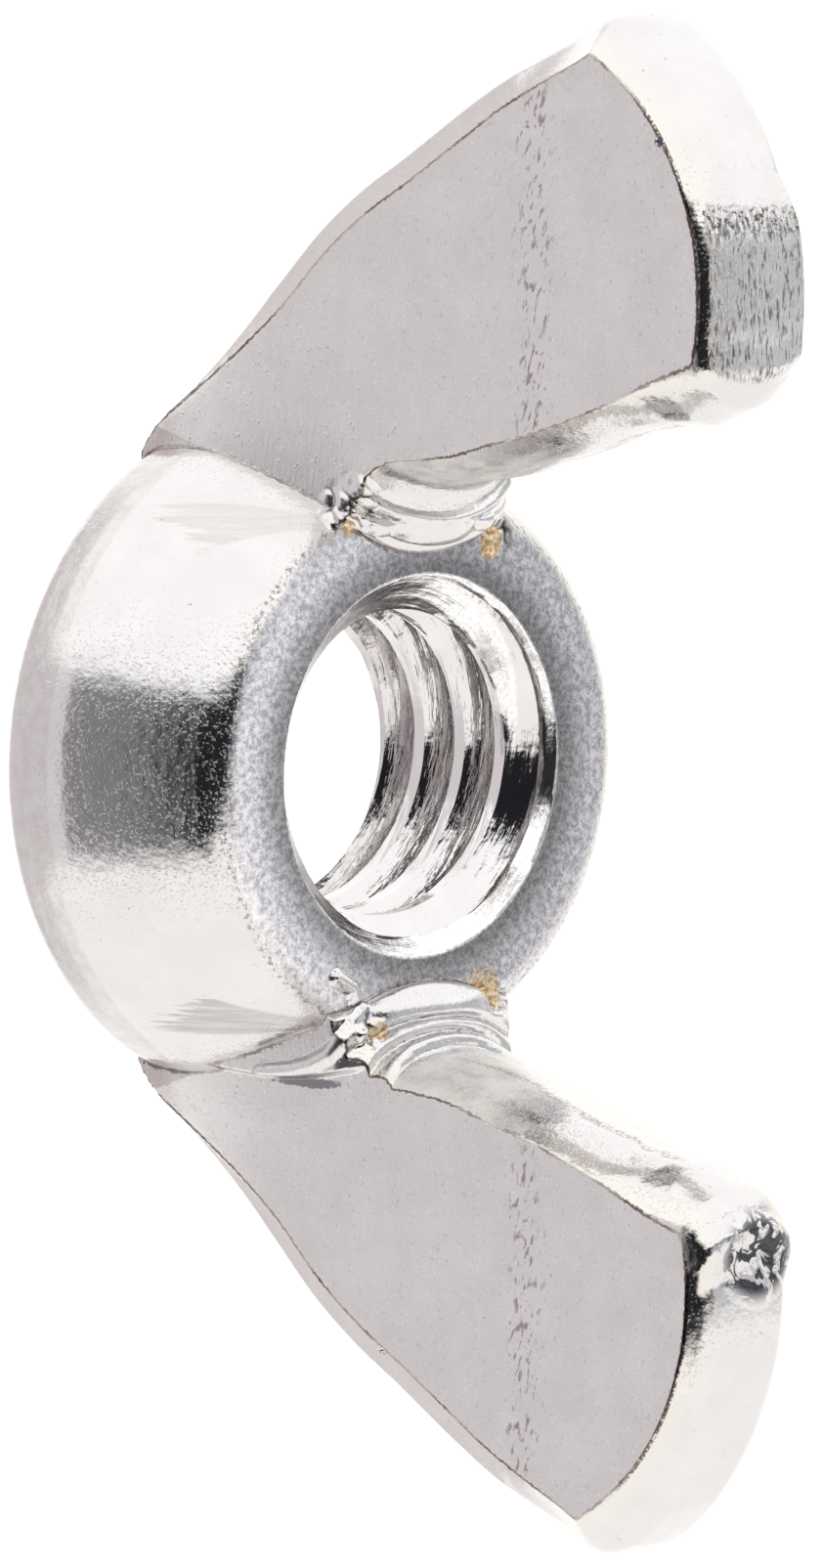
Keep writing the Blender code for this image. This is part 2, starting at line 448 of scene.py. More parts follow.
def relax(body, passes):
    """Spreads the vertices evenly over the surface, and moves them back onto it."""
    mesh = body.data
    ends = np.empty(len(mesh.edges) * 2, int)
    mesh.edges.foreach_get("vertices", ends)
    ends = ends.reshape(-1, 2)
    degree = np.bincount(ends.ravel(), minlength=len(mesh.vertices))[:, None]
    p = settle(coords(mesh), 1)
    for _ in range(passes):
        total = np.zeros_like(p)
        for axis in range(3):
            total[:, axis] = np.bincount(ends[:, 0], p[ends[:, 1], axis], len(p))
            total[:, axis] += np.bincount(ends[:, 1], p[ends[:, 0], axis], len(p))
        p = settle(p + 0.5 * (total / degree - p), 1)
    mesh.vertices.foreach_set("co", settle(p, 2).ravel())
    mesh.update()


def refine(body, angle):
    """Splits the edges across which the surface turns most."""
    mesh = body.data
    n = gradient(coords(mesh))
    n /= np.linalg.norm(n, axis=1)[:, None]
    ends = np.empty(len(mesh.edges) * 2, int)
    mesh.edges.foreach_get("vertices", ends)
    ends = ends.reshape(-1, 2)
    turn = (n[ends[:, 0]] * n[ends[:, 1]]).sum(1)
    data = bmesh.new()
    data.from_mesh(mesh)
    data.edges.ensure_lookup_table()
    middle = coords(mesh)[ends].mean(1)
    folded = np.zeros(len(ends), bool)
    for centre, reach, _ in FOLDS:
        folded |= np.linalg.norm(middle - centre, axis=1) < reach
    sharp = [data.edges[i] for i in np.flatnonzero(folded | (turn < cos(radians(angle))))]
    bmesh.ops.subdivide_edges(data, edges=sharp, cuts=1, use_grid_fill=True)
    bmesh.ops.triangulate(data, faces=data.faces)
    data.to_mesh(mesh)
    data.free()
    mesh.update()


def forged_body():
    verts, faces = [], []
    for part_verts, part_faces in (rough_hub(), rough_wing(-1), rough_wing(1)):
        faces += [[i + len(verts) for i in face] for face in part_faces]
        verts += part_verts
    body = new_object("nut_body", verts, faces)
    voxel_remesh(body, COARSE_VOXEL)
    relax(body, 3)
    voxel_remesh(body, VOXEL)
    relax(body, 3)
    for _ in range(2):
        refine(body, FINEST_TURN)
        relax(body, 1)
    return body


def thread_cutter():
    """What the tap and the countersinks take away, as one closed helical skin, in millimetres."""
    major = THREAD_MAJOR / 2
    minor = major - THREAD_PITCH * sqrt(3) / 2 * 5 / 8
    columns, rows = 180, 16
    slope = tan(radians(30))
    first = THREAD_PHASE - 2.5 * THREAD_PITCH
    last = int((HUB_HEIGHT + 2.5 * THREAD_PITCH) / THREAD_PITCH) + 1
    verts = []
    for i in range(columns):
        turn = i / columns
        for j in range(last * rows + 1):
            phase = j / rows
            z = first + THREAD_PITCH * (phase + turn)
            gap = abs((phase + 0.5) % 1 - 0.5) * THREAD_PITCH
            r = max(minor, min(major, major - (gap - THREAD_PITCH / 16) / slope))
            r = max(r, TOP_COUNTERSINK - (HUB_HEIGHT - z), BASE_COUNTERSINK - z)
            r = min(r, TOP_COUNTERSINK + 0.5)
            angle = 2 * pi * turn
            verts.append((r * cos(angle), r * sin(angle), z))
    height = last * rows + 1
    faces = []
    for i in range(columns):
        lift = rows if i == columns - 1 else 0
        a, b = i * height, (i + 1) % columns * height
        for j in range(height - 1):
            if 0 <= j + lift and j + 1 + lift < height:
                faces.append([a + j, b + j + lift, b + j + 1 + lift, a + j + 1])
    low, high = len(verts), len(verts) + 1
    verts += [(0, 0, first), (0, 0, first + THREAD_PITCH * last)]
    ring = [i * height for i in range(columns)] + [j for j in range(rows, 0, -1)]
    faces += [[low, b, a] for a, b in zip(ring, ring[1:] + ring[:1])]
    top = height - 1
    ring = [i * height + top for i in range(columns - 1)]
    ring += [(columns - 1) * height + j for j in range(top, top - rows - 1, -1)]
    faces += [[high, a, b] for a, b in zip(ring, ring[1:] + ring[:1])]
    points = np.array(verts)
    wave = 0.012 * noise(points * (1, 1, 2.5), 0.5, 21) + 0.006 * noise(points * (1, 1, 3), 0.18, 22)
    inside = np.hypot(points[:, 0], points[:, 1]) > 1
    points[:, :2] *= 1 + (wave * inside / major)[:, None]
    return new_object("thread_cutter", points, faces)


def close_slivers(mesh):
    """Merges the needle-thin faces that a cut leaves."""
    data = bmesh.new()
    data.from_mesh(mesh)
    bmesh.ops.remove_doubles(data, verts=data.verts, dist=SLIVER)
    bmesh.ops.dissolve_degenerate(data, dist=SLIVER, edges=data.edges)
    bmesh.ops.triangulate(data, faces=data.faces)
    bmesh.ops.dissolve_degenerate(data, dist=SLIVER, edges=data.edges)
    bmesh.ops.triangulate(data, faces=data.faces)
    data.to_mesh(mesh)
    data.free()


def wing_masks(p):
    """For each point: how far past its wing's crease, its place on the outline, how far off the hub."""
    hub, cone = hub_field(p)
    border = np.full(len(p), -9.0)
    place = np.zeros(len(p))
    on_wing = np.full(len(p), -9.0)
    for side in (-1, 1):
        near = np.flatnonzero(side * p[:, 0] > 3.5)
        q = p[near]
        wing, value, place[near] = wing_field(q, side, cone[near])
        outside = hub[near] - wing
        slope = np.zeros(len(q))
        seam_slope = np.zeros(len(q))
        for axis in range(3):
            shift = np.zeros(3)
            shift[axis] = 0.01
            next_hub, next_cone = hub_field(q + shift)
            next_wing, next_value, _ = wing_field(q + shift, side, next_cone)
            slope += (next_value - value) ** 2
            seam_slope += (next_hub - next_wing - outside) ** 2
        border[near] = value / np.maximum(np.sqrt(slope) / 0.01, 0.3)
        on_wing[near] = outside / np.maximum(np.sqrt(seam_slope) / 0.01, 0.3)
    return border, place, on_wing


def add_attribute(mesh, name, values):
    attribute = mesh.attributes.new(name, "FLOAT", "POINT")
    attribute.data.foreach_set("value", values.astype(np.float32))


def smooth_normals(mesh, p):
    """Normals from the field on the forged skin, and the mesh's own in the bore."""
    n = gradient(p)
    n /= np.maximum(np.linalg.norm(n, axis=1), 1e-6)[:, None]
    forged = np.abs(field(p)) < 0.004
    corner = np.empty(len(mesh.loops), int)
    mesh.loops.foreach_get("vertex_index", corner)
    normals = np.empty(len(mesh.loops) * 3)
    mesh.corner_normals.foreach_get("vector", normals)
    normals = normals.reshape(-1, 3)
    own = np.empty(len(mesh.polygons) * 3)
    mesh.polygons.foreach_get("normal", own)
    total = np.empty(len(mesh.polygons), int)
    mesh.polygons.foreach_get("loop_total", total)
    own = np.repeat(own.reshape(-1, 3), total, axis=0)
    smooth = forged[corner] & ((n[corner] * own).sum(1) > 0.6)
    normals[smooth] = n[corner][smooth]
    mesh.normals_split_custom_set([tuple(v) for v in normals])


def make_nut():
    """The forged body with its bore cut, in metres."""
    body = forged_body()
    cutter = thread_cutter()
    cut = body.modifiers.new("bore", "BOOLEAN")
    cut.operation = "DIFFERENCE"
    cut.solver = "EXACT"
    cut.object = cutter
    apply_modifiers(body)
    bpy.data.objects.remove(cutter)
    mesh = body.data
    close_slivers(mesh)
    mesh.shade_smooth()
    mesh.set_sharp_from_angle(angle=radians(32))
    p = coords(mesh)
    smooth_normals(mesh, p)
    border, place, on_wing = wing_masks(p)
    add_attribute(mesh, "border", border)
    add_attribute(mesh, "along", place)
    add_attribute(mesh, "on_wing", on_wing)
    add_attribute(mesh, "cracks", crumple(p)[1])
    mesh.vertices.foreach_set("co", (p * MM).ravel())
    mesh.update()
    return body


# ---------------------------------------------------------------- the plated surface

class Nodes:
    """A short way to write a shader's node graph."""

    def __init__(self, tree):
        self.tree = tree

    def add(self, kind, output=0, settings=None, **inputs):
        node = self.tree.nodes.new("ShaderNode" + kind)
        for name, value in (settings or {}).items():
            setattr(node, name, value)
        for name, value in inputs.items():
            key = int(name[1:]) if name[0] == "i" and name[1:].isdigit() else name.replace("_", " ")
            self.put(node.inputs[key], value)
        return node.outputs[output]

    def put(self, socket, value):
        if isinstance(value, bpy.types.NodeSocket):
            self.tree.links.new(value, socket)
        else:
            socket.default_value = value

    def math(self, operation, a, b=0.0, c=0.0, clamp=False):
        settings = {"operation": operation, "use_clamp": clamp}
        return self.add("Math", settings=settings, i0=a, i1=b, i2=c)

    def times(self, first, *others):
        for other in others:
            first = self.math("MULTIPLY", first, other)
        return first

    def plus(self, a, b):
        return self.math("ADD", a, b)

    def highest(self, first, *others):
        for other in others:
            first = self.math("MAXIMUM", first, other)
        return first

    def off(self, value, middle):
        """How far a value is from a middle one, either way."""
        return self.math("ABSOLUTE", self.math("SUBTRACT", value, middle))

    def far(self, place, centre):
        return self.vector("DISTANCE", place, centre).node.outputs["Value"]

    def vector(self, operation, a, b=(0, 0, 0)):
        return self.add("VectorMath", settings={"operation": operation}, i0=a, i1=b)

    def ramp(self, value, low, high, start=0.0, end=1.0):
        """Start below low, end above high, with a smooth change between."""
        if low > high:
            low, high, start, end = high, low, end, start
        return self.add("MapRange", settings={"interpolation_type": "SMOOTHSTEP"},
                        Value=value, From_Min=low, From_Max=high, To_Min=start, To_Max=end)

    def noise(self, place, scale, detail=3.0, rough=0.55, distortion=0.0):
        return self.add("TexNoise", Vector=place, Scale=scale, Detail=detail, Roughness=rough,
                        Distortion=distortion)

    def mix(self, share, a, b):
        node = self.tree.nodes.new("ShaderNodeMix")
        node.data_type = "RGBA"
        for key, value in ((0, share), (6, a), (7, b)):
            self.put(node.inputs[key], value)
        return node.outputs[2]

    def blend(self, share, a, b):
        """A number that goes from a to b."""
        node = self.tree.nodes.new("ShaderNodeMix")
        node.data_type = "FLOAT"
        for key, value in ((0, share), (2, a), (3, b)):
            self.put(node.inputs[key], value)
        return node.outputs[0]


# Colours of the plating and of what lies on it, and of the painted shade, sheen and glints on it.
WHITE = (1, 1, 1, 1)
STEEL_GREY = (0.655, 0.635, 0.64, 1)
STEEL_PALE = (0.69, 0.67, 0.675, 1)
BLOTCH_GREY = (0.5, 0.46, 0.47, 1)
# A painted sheen along the wings' edges.
CREAM_SHEEN = (0.75, 0.71, 0.63, 1)
BLOOM_WHITE = (0.86, 0.84, 0.80, 1)
ROOT_BROWN = (0.42, 0.34, 0.33, 1)
BAND_BROWN = (0.45, 0.41, 0.40, 1)
COMBED_GREY = (0.46, 0.43, 0.43, 1)
LINE_INK = (0.06, 0.055, 0.06, 1)
FLAKE_BLACK = (0.04, 0.04, 0.05, 1)
GRIT_BLACK = (0.12, 0.11, 0.1, 1)
GRIME_GREY = (0.3, 0.27, 0.25, 1)
BURR_BROWN = (0.22, 0.18, 0.18, 1)
# Painted shade in the creases and at the wings' roots.
CREASE_SHADE_BROWN = (0.14, 0.10, 0.09, 1)
# Painted shade in the cracks between folds.
CRACK_SHADE = (0.035, 0.025, 0.022, 1)
PIT_BROWN = (0.2, 0.17, 0.16, 1)
PALE_SPECK = (0.9, 0.89, 0.88, 1)
DARK_SPECK = (0.3, 0.26, 0.26, 1)
# Painted shade in hollows.
HOLLOW_SHADE = (0.1, 0.1, 0.13, 1)
STAIN_BROWN = (0.42, 0.24, 0.08, 1)
STAIN_YELLOW = (0.84, 0.66, 0.4, 1)

# The flaked plating on the right wing's tip, and the chatter marks on the left wing's flat.
FLAKED_CENTRE = (9.5, 0.15, 15.0)
RIPPLE_CENTRE = (-9.84, -1.94, 7.1)
RIPPLE_SOURCE = (-8.2, -1.94, 6.6)
RIPPLE_PITCH = 0.16
# Where the left tip's white end meets its drawn panel, and the panel's two ends.
GRITTY_X = -11.95
PANEL_OUTER = (-12.3, -11.8)
PANEL_INNER = (-8.55, -8.75)
# The height at which the flats were pressed to a second slope.
BEND_HEIGHT = (10.0, 10.5)
# Each hollow with painted shade: its centre, its reach along X, Y and Z, and how dark its shade is.
SHADED_HOLLOWS = [
    ((-13.55, -1.58, 13.6), (0.14, 0.3, 0.08), 1.0),
    ((6.74, -2.5, 4.4), (0.13, 0.6, 1.1), 0.75),
    ((5.35, -1.85, 5.4), (0.35, 0.25, 0.3), 0.8),
]
# Each stain: its centre and its reach.
STAINS = [
    ((-4.75, 2.0, 5.4), 0.55),
    ((-5.2, -2.3, 5.4), 0.3),
    ((5.0, 1.9, 5.4), 0.75),
    ((5.6, -1.6, 5.6), 0.45),
]


def read_surface(n):
    """What the finishes read: the place in millimetres, the mesh's attributes, and shared noises."""
    s = SimpleNamespace()
    s.place = n.vector("SCALE", n.add("TexCoord", "Object"))
    s.place.node.inputs["Scale"].default_value = 1 / MM
    s.x, s.y, s.z = n.add("SeparateXYZ", Vector=s.place).node.outputs
    s.up = n.add("SeparateXYZ", "Z", Vector=n.add("NewGeometry", "True Normal"))
    s.radius = n.vector("LENGTH", n.add("CombineXYZ", X=s.x, Y=s.y)).node.outputs["Value"]
    s.border, s.along, s.past_seam, s.cracks = (
        n.add("Attribute", "Fac", {"attribute_name": name})
        for name in ("border", "along", "on_wing", "cracks")
    )
    s.cloud = n.noise(s.place, 0.8)
    s.peel = n.noise(s.place, 3.0, 2.0)
    s.fine = n.noise(s.place, 9.0, 4.0, 0.65)
    s.grit = n.noise(s.place, 15.0, 2.0, 0.6)
    s.grain = n.noise(s.place, 34.0, 1.0)
    s.blotch = n.ramp(n.noise(s.place, 1.7, 5.0, 0.7), 0.35, 0.65)
    s.mottle = n.ramp(n.noise(s.place, 6.0, 6.0, 0.8), 0.38, 0.62)
    s.swirl = n.noise(s.place, 1.6, 3.0, 0.5, 2.0)
    s.drawn = n.noise(n.vector("MULTIPLY", s.place, (0.9, 5.0, 5.0)), 2.6, 6.0, 0.75)
    s.lines = n.ramp(s.drawn, 0.48, 0.62)
    return s


def find_areas(n, s):
    """Adds a mask for each area that has a finish of its own."""
    s.on_wing = n.ramp(s.past_seam, -0.02, 0.04)
    s.on_hub = n.math("SUBTRACT", 1.0, s.on_wing)
    s.flat = n.times(s.on_wing, n.ramp(s.border, -0.05, -0.01, 1, 0))
    s.edge = n.math("SUBTRACT", s.on_wing, s.flat)
    s.tip = n.times(s.edge, n.ramp(s.along, 0.97, 1.0), n.ramp(s.along, 1.97, 2.0, 1, 0))
    s.inboard = n.times(s.edge, n.ramp(s.along, 2.02, 2.1), n.ramp(s.along, 3.2, 3.1))
    s.bloom = n.times(s.inboard, n.ramp(s.z, 10.5, 8.0), n.ramp(s.blotch, 0, 1, 0.55, 0.9))

    level = n.times(n.ramp(s.z, HUB_HEIGHT - 0.15, HUB_HEIGHT - 0.05),
                    n.ramp(s.z, HUB_HEIGHT + 0.05, HUB_HEIGHT + 0.1, 1, 0))
    s.top = n.times(n.ramp(s.up, 0.85, 0.97), level, s.on_hub)
    s.bore = n.ramp(s.radius, TOP_COUNTERSINK - 0.03, TOP_COUNTERSINK + 0.05, 1, 0)
    off_chamfer = n.off(n.math("SUBTRACT", s.z, s.radius), HUB_HEIGHT - TOP_COUNTERSINK)
    s.chamfer = n.times(n.ramp(off_chamfer, 0.04, 0.08, 1, 0), s.bore, n.ramp(s.z, 4.45, 4.7))

    bowed_x = n.plus(s.x, n.times(s.y, s.y, 0.15))
    s.panel = n.times(s.edge, n.ramp(s.x, *PANEL_OUTER), n.ramp(bowed_x, *PANEL_INNER))
    s.panel = n.times(s.panel, n.ramp(s.up, 0.86, 0.93), n.ramp(s.y, 1.45, 1.35))
    s.flaked = n.ramp(n.far(s.place, FLAKED_CENTRE), 1.15, 0.7)
    s.burrs = torn_burrs(n, s)
    s.stain = bath_stain(n, s)


def torn_burrs(n, s):
    """Torn burrs along the line where the flats were pressed to a second slope."""
    off_line = n.off(s.z, n.ramp(s.peel, 0.3, 0.7, *BEND_HEIGHT))
    slanted_z = n.math("MULTIPLY_ADD", s.x, 2.4, n.times(s.z, 8.5))
    slanted = n.add("CombineXYZ", X=n.times(s.x, 3.2), Z=slanted_z)
    torn = n.ramp(n.noise(slanted, 1.0, 3.0, 0.5, 0.2), 0.56, 0.6)
    return n.times(n.ramp(off_line, 0.05, 0.5, 1, 0), torn, s.flat, n.ramp(s.cloud, 0.3, 0.42))


def bath_stain(n, s):
    """Stains left by the plating bath in the folds, with ragged borders."""
    near = 0.0
    for centre, reach in STAINS:
        near = n.highest(near, n.ramp(n.far(s.place, centre), 0.35 * reach, reach, 1, 0))
    ragged = n.ramp(n.noise(s.place, 4.0, 4.0, 0.7), 0.25, 0.75, -0.45, 0.45)
    return n.ramp(n.plus(near, ragged), 0.5, 0.75)


def forged_steel(n, s):
    """A cloudy steel grey, with a painted cream sheen on the wings' edges beside the crease, pale inboard
    and brown at the flats' foot.
    """
    colour = n.mix(n.ramp(s.cloud, 0.35, 0.7), STEEL_GREY, STEEL_PALE)
    colour = n.mix(n.times(s.flat, s.blotch, 0.12), colour, BLOTCH_GREY)
    # A painted cream sheen along each edge, strongest beside the flat's crease.
    colour = n.mix(n.times(s.edge, n.ramp(s.border, 0.6, 0.1), 0.35), colour, CREAM_SHEEN)
    colour = n.mix(s.bloom, colour, BLOOM_WHITE)
    return n.mix(n.times(s.flat, n.ramp(s.z, 1.2, 0.6), 0.45), colour, ROOT_BROWN)


def hub_finish(n, s, colour):
    """Satin mottling on the hub's top, with painted shade that darkens it at the bore and the back, and a
    dull low band.
    """
    # The top's tone is painted shade: darker towards the bore and the back, lighter at the front.
    shaded_tone = n.blend(n.ramp(s.radius, 4.2, 5.3), 0.24, 0.58)
    shaded_tone = n.times(shaded_tone, n.blend(n.ramp(s.y, 1.0, -4.0), 1.0, 1.45))
    shaded_tone = n.math("MULTIPLY", shaded_tone, n.blend(s.mottle, 0.66, 1.27), clamp=True)
    satin = n.add("CombineColor", Red=shaded_tone, Green=n.times(shaded_tone, 0.965), Blue=shaded_tone)
    colour = n.mix(s.top, colour, satin)
    # White speckles on the chamfer are painted glints.
    colour = n.mix(n.times(s.chamfer, n.ramp(s.fine, 0.42, 0.6, 0.2, 0.8)), colour, WHITE)
    band = n.times(s.on_hub, n.ramp(s.z, BAND_HEIGHT - 0.05, BAND_HEIGHT + 0.1, 1, 0))
    return n.mix(n.times(band, n.ramp(s.peel, 0.3, 0.7, 0.15, 0.4)), colour, BAND_BROWN)


def comb_marks(n, s, colour):
    """Combed facets on the cone beside the front of each wing, between three slanted lines."""
    angle = n.times(n.math("ARCTAN2", s.y, n.math("ABSOLUTE", s.x)), 180 / pi)
    comb = n.noise(n.vector("MULTIPLY", s.place, (9.0, 0.5, 0.5)), 1.0, 4.0, 0.7)
    ragged = n.plus(angle, n.ramp(comb, 0.3, 0.7, -3.0, 3.0))
    low_side = n.math("SUBTRACT", angle, n.math("MULTIPLY_ADD", s.z, 4.3, -48.0))
    high_line = n.highest(n.math("MULTIPLY_ADD", s.z, 9.9, -81.5), -90.0)
    high_side = n.math("SUBTRACT", angle, high_line)
    blunt_side = n.math("SUBTRACT", ragged, n.math("MULTIPLY_ADD", s.z, -2.7, -35.0))
    combed = n.times(n.ramp(low_side, 0.0, -1.0), n.ramp(high_side, -0.5, 1.0))
    combed = n.times(combed, n.ramp(blunt_side, -0.5, 1.0), s.on_hub, n.ramp(s.z, 5.2, 5.1))
    combed = n.times(combed, n.ramp(comb, 0.35, 0.6, 0.5, 1.0), n.ramp(s.x, -1.0, 1.0, 0.4, 1.0))
    return n.mix(combed, colour, COMBED_GREY)


def tip_panel(n, s, colour):
    """Drawn lines on the left tip's panel, with a dark line along its far side."""
    far_line = n.ramp(n.off(s.y, n.ramp(s.fine, 0.3, 0.7, 1.2, 1.36)), 0.03, 0.1, 1, 0)
    inked = n.times(s.panel, n.highest(n.times(s.lines, 0.85), n.times(far_line, 0.9)))
    colour = n.mix(inked, colour, LINE_INK)
    return n.mix(n.times(s.panel, n.ramp(s.drawn, 0.3, 0.45, 0.8, 0)), colour, WHITE)


def tip_flakes(n, s, colour):
    """Black flakes on the right tip, and grit where the left tip's white end meets its panel."""
    ink = n.times(s.flaked, s.edge, n.ramp(s.swirl, 0.47, 0.52), 0.95)
    colour = n.mix(ink, colour, FLAKE_BLACK)
    gritty = n.times(s.tip, n.ramp(n.off(s.x, GRITTY_X), 0.15, 0.4, 1, 0))
    return n.mix(n.times(gritty, n.ramp(s.fine, 0.52, 0.58)), colour, GRIT_BLACK)


def edge_grime(n, s, colour):
    """A speckled line of grime that runs along the middle of each inboard edge."""
    off_middle = n.math("ABSOLUTE", n.plus(s.y, n.ramp(s.cloud, 0.3, 0.7, 0.0, 0.3)))
    grime = n.times(n.ramp(off_middle, 0.05, 0.2, 1, 0), s.inboard)
    grime = n.times(grime, n.ramp(s.z, 6.3, 7.2), n.ramp(s.z, 13.6, 13.0))
    return n.mix(n.times(grime, n.ramp(s.grit, 0.42, 0.56), 0.75), colour, GRIME_GREY)


def crease_shade_lines(n, s, colour):
    """Painted shade: brown lines, broken into nicks, in the creases round the flats and the tips, at the
    wings' roots and along the hub's top edge.
    """
    wander = n.ramp(s.fine, 0.3, 0.7, -0.02, 0.02)
    crease_shade = n.ramp(n.math("ABSOLUTE", n.plus(s.border, wander)), 0.015, 0.04, 1, 0)
    crease_shade = n.times(crease_shade, s.on_wing, n.ramp(s.cloud, 0.35, 0.6, 0.35, 1.0))
    tip_shade_line = n.ramp(n.off(s.border, 0.02), 0.03, 0.06, 1, 0)
    tip_shade_line = n.times(tip_shade_line, n.ramp(s.grit, 0.42, 0.5), s.on_wing)
    tip_shade_line = n.times(tip_shade_line, n.ramp(s.along, 1.1, 1.3), n.ramp(s.along, 2.0, 1.95))
    seam_shade = n.ramp(n.math("ABSOLUTE", n.plus(s.past_seam, wander)), 0.02, 0.06, 1, 0)
    seam_shade = n.times(seam_shade, n.ramp(s.cloud, 0.35, 0.6, 0.5, 0.95))
    # A painted shade line along the hub's top edge, where its surface slopes at one angle.
    rim = n.times(n.ramp(n.off(s.up, 0.86), 0.02, 0.05, 1, 0), s.on_hub)
    rim = n.times(rim, n.ramp(s.z, 5.0, 5.1), n.ramp(s.fine, 0.5, 0.58), 0.6)
    return n.mix(n.highest(crease_shade, tip_shade_line, seam_shade, rim), colour, CREASE_SHADE_BROWN)


def specks_and_hollow_shade(n, s, colour):
    """Pits on the forged skin, pale and dark specks on the flats, and painted shade in hollows."""
    pits = n.ramp(n.noise(s.place, 5.5, 3.0, 0.7), 0.68, 0.74)
    colour = n.mix(n.times(pits, 0.5), colour, PIT_BROWN)
    colour = n.mix(n.times(n.ramp(s.grit, 0.62, 0.7), s.flat, 0.35), colour, PALE_SPECK)
    colour = n.mix(n.times(n.ramp(s.grit, 0.36, 0.3), s.flat, 0.3), colour, DARK_SPECK)
    # Painted shade darkens each hollow: a dent, the lip's step and a fold by the right wing's root.
    for centre, reach, depth in SHADED_HOLLOWS:
        off_centre = n.vector("SUBTRACT", s.place, centre)
        stretched = n.vector("MULTIPLY", off_centre, [1 / r for r in reach])
        far = n.vector("LENGTH", stretched).node.outputs["Value"]
        far = n.plus(far, n.ramp(s.fine, 0.3, 0.7, -0.25, 0.25))
        colour = n.mix(n.times(n.ramp(far, 1.0, 0.75), depth), colour, HOLLOW_SHADE)
    return colour


def stained(n, s, colour):
    """Yellow-brown where the plating bath left stains."""
    stain = n.mix(n.ramp(s.fine, 0.44, 0.56), STAIN_BROWN, STAIN_YELLOW)
    return n.mix(n.times(s.stain, n.ramp(s.grit, 0.35, 0.6, 0.45, 0.95)), colour, stain)


def base_colour(n, s):
    colour = forged_steel(n, s)
    for layer in (hub_finish, comb_marks, tip_panel, tip_flakes, edge_grime):
        colour = layer(n, s, colour)
    colour = n.mix(n.times(s.burrs, 0.75), colour, BURR_BROWN)
    colour = crease_shade_lines(n, s, colour)
    # Painted black shade in the cracks between the folds.
    colour = n.mix(s.cracks, colour, CRACK_SHADE)
    colour = specks_and_hollow_shade(n, s, colour)
    return stained(n, s, colour)


def roughness(n, s):
    rough = n.ramp(s.fine, 0.3, 0.75, 0.08, 0.18)
    areas = (
        (s.flat, 0.24),
        (s.top, n.ramp(s.mottle, 0, 1, 0.2, 0.34)),
        (s.bore, 0.06),
        (s.chamfer, 0.14),
        (s.bloom, 0.4),
        (s.stain, 0.4),
        (s.panel, n.ramp(s.lines, 0, 1, 0.2, 0.4)),
    )
    for area, value in areas:
        rough = n.blend(area, rough, value)
    return rough


def skin_relief(n, s):
    """Orange peel, sparkling grit and, in the bore, the tap's streaks, in millimetres."""
    sparkle = n.blend(s.bore, n.ramp(s.cloud, 0.3, 0.7, 0.002, 0.004), 0.0)
    sparkle = n.blend(s.tip, sparkle, 0.0015)
    rings = n.add("CombineXYZ", X=n.times(s.radius, 5.0), Y=n.times(s.z, 5.0))
    turned = n.vector("ADD", rings, n.vector("MULTIPLY", s.place, (0.7, 0.7, 0.0)))
    streaks = n.times(n.noise(turned, 1.0, 3.0, 0.5), s.bore, 0.03)
    height = n.plus(n.times(s.peel, 0.012), n.times(n.ramp(s.grit, 0.56, 0.7), sparkle))
    return n.plus(n.plus(height, streaks), n.times(s.fine, 0.002))


def flat_relief(n, s):
    """Drawing strokes, burrs and a few raised dots, in millimetres."""
    strokes = n.noise(n.vector("MULTIPLY", s.place, (0.25, 1.0, 2.5)), 7.0, 4.0, 0.5)
    dots = n.ramp(n.noise(s.place, 8.0, 1.0), 0.66, 0.72)
    height = n.plus(n.times(strokes, 0.003), n.times(s.burrs, 0.01))
    return n.plus(height, n.times(dots, 0.004))


def chatter_relief(n, s):
    """Rings of chatter marks on the left wing's flat, in millimetres."""
    near = n.ramp(n.far(s.place, RIPPLE_CENTRE), 0.9, 0.5)
    rings = n.math("SINE", n.times(n.far(s.place, RIPPLE_SOURCE), 2 * pi / RIPPLE_PITCH))
    return n.times(rings, near, s.flat, 0.002)


def relief(n, s):
    """The height of the whole surface's fine detail, in millimetres."""
    height = n.blend(s.flat, skin_relief(n, s), flat_relief(n, s))
    height = n.plus(height, n.times(s.panel, s.lines, -0.006))
    satin = n.math("MULTIPLY_ADD", s.chamfer, 0.8, s.top)
    height = n.plus(height, n.times(satin, s.grain, 0.004))
    height = n.plus(height, n.times(s.flaked, s.swirl, 0.06))
    return n.plus(height, chatter_relief(n, s))


def plated_material():
    """Bright plating on forged steel, with the marks of the press, the tap and the plating bath."""
    material = bpy.data.materials.new("bright_plating")
    material.use_nodes = True
    shader = material.node_tree.nodes["Principled BSDF"]
    n = Nodes(material.node_tree)
    s = read_surface(n)
    find_areas(n, s)
    height = n.times(relief(n, s), MM)
    n.put(shader.inputs["Base Color"], base_colour(n, s))
    n.put(shader.inputs["Metallic"], n.blend(s.bloom, 1.0, 0.2))
    n.put(shader.inputs["Roughness"], roughness(n, s))
    n.put(shader.inputs["Normal"], n.add("Bump", Strength=1.0, Distance=1.0, Height=height))
    return material


# ---------------------------------------------------------------- floor, light and camera

FLOOR_DROP = 0.05
FLOOR_SIDE = 600.0
LEFT_LIGHT = (1.42, 1.43, 1.40, 1)
RIGHT_LIGHT = (1.29, 1.28, 1.24, 1)
HORIZON_GREY = (0.30, 0.30, 0.31, 1)
STRIP_DARK = (0.02, 0.02, 0.024, 1)
SKY_BACK = (0.66, 0.68, 0.71, 1)
FLOOR_GLOW = (0.92, 0.88, 0.885, 1)
BACK_GLOW = (1.3, 1.28, 1.2, 1)

